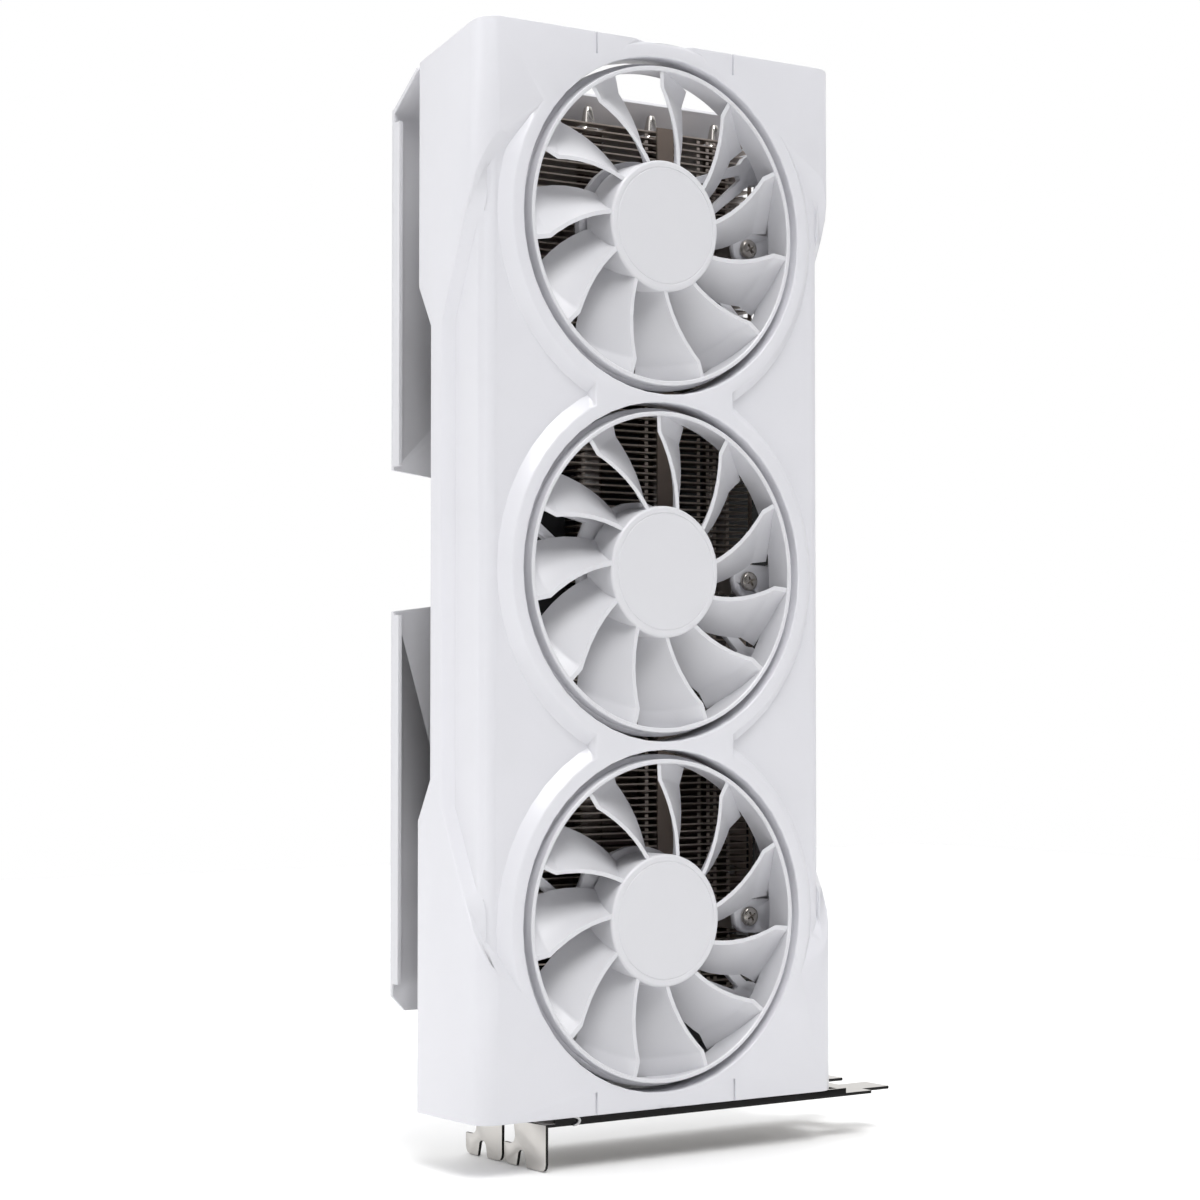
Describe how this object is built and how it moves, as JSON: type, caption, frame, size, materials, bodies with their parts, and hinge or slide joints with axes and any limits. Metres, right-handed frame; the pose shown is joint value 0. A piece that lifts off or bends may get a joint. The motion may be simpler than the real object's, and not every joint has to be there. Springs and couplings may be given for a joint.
{
  "type": "graphics card",
  "caption": "Long graphics card with a white moulded shroud, axial ring fans, a finned cooler, a folded backplate and a double-width slot bracket.",
  "frame": {"origin": "on the slot bracket's outer face, in the plane of the circuit board's component face and on the common centre line of the fans", "axes": "+Z along the card away from the bracket; -Y the way the fans face; +X the way the board's edge contacts face"},
  "size_m": [0.1424, 0.0463, 0.298],
  "materials": {
    "shroud_white": "satin moulded plastic, cool white",
    "fan_white": "satin moulded plastic, cool white",
    "backplate_white": "white powder coat on sheet steel",
    "bracket_steel": "nickel-plated stamped steel, satin",
    "steel": "plated steel, semi-bright",
    "fin_metal": "thin aluminium fins with a dark nickel coat",
    "nickel": "bright nickel plate",
    "copper": null,
    "bearing": "sintered bronze",
    "magnet": "dark ferrite",
    "dark_metal": "dark oxide",
    "chip": "green laminate with a dark die",
    "board": "black solder mask on glass laminate",
    "black_plastic": "black moulded nylon",
    "lead_black": "black insulated wires in a sleeve"
  },
  "bodies": {
    "card": {"shroud": "shroud_white", "bearing_sleeve_1": "bearing", "stator_1": "copper", "fan_frame_1": "fan_white", "fan_lead_1": "lead_black", "fan_screw_1_1": "steel", "fan_screw_1_2": "steel", "shroud_screw_1": "steel", "bearing_sleeve_2": "bearing", "stator_2": "copper", "fan_frame_2": "fan_white", "fan_lead_2": "lead_black", "fan_screw_2_1": "steel", "fan_screw_2_2": "steel", "shroud_screw_2": "steel", "bearing_sleeve_3": "bearing", "stator_3": "copper", "fan_frame_3": "fan_white", "fan_lead_3": "lead_black", "fan_screw_3_1": "steel", "fan_screw_3_2": "steel", "shroud_screw_3": "steel", "fan_header": "black_plastic", "fin_stack": "fin_metal", "heat_pipe_1": "nickel", "heat_pipe_2": "nickel", "heat_pipe_3": "nickel", "cooler_base": "copper", "graphics_chip": "chip", "chip_retainer": "dark_metal", "spring_screw_1": "steel", "spring_screw_2": "steel", "spring_screw_3": "steel", "spring_screw_4": "steel", "circuit_board": "board", "power_connector_1": "black_plastic", "power_connector_2": "black_plastic", "display_connector_1": "nickel", "display_connector_2": "nickel", "display_connector_3": "nickel", "display_connector_4": "nickel", "slot_bracket": "bracket_steel", "bracket_screw_1": "steel", "bracket_screw_2": "steel", "backplate": "backplate_white", "backplate_screw_1": "steel", "backplate_screw_2": "steel", "backplate_screw_3": "steel", "backplate_screw_4": "steel", "choke_row": "dark_metal"},
    "fan_1": {"fan_rotor_1": "fan_white", "fan_shaft_1": "steel", "magnet_ring_1": "magnet"},
    "fan_2": {"fan_rotor_2": "fan_white", "fan_shaft_2": "steel", "magnet_ring_2": "magnet"},
    "fan_3": {"fan_rotor_3": "fan_white", "fan_shaft_3": "steel", "magnet_ring_3": "magnet"}
  },
  "joints": [
    {"name": "fan_1_spin", "type": "hinge", "parent": "card", "child": "fan_1", "pos_m": [0, -0.0379, 0.052], "axis": [0, 1, 0], "continuous": true},
    {"name": "fan_2_spin", "type": "hinge", "parent": "card", "child": "fan_2", "pos_m": [0, -0.0379, 0.1446], "axis": [0, 1, 0], "continuous": true},
    {"name": "fan_3_spin", "type": "hinge", "parent": "card", "child": "fan_3", "pos_m": [0, -0.0379, 0.2372], "axis": [0, 1, 0], "continuous": true}
  ]
}
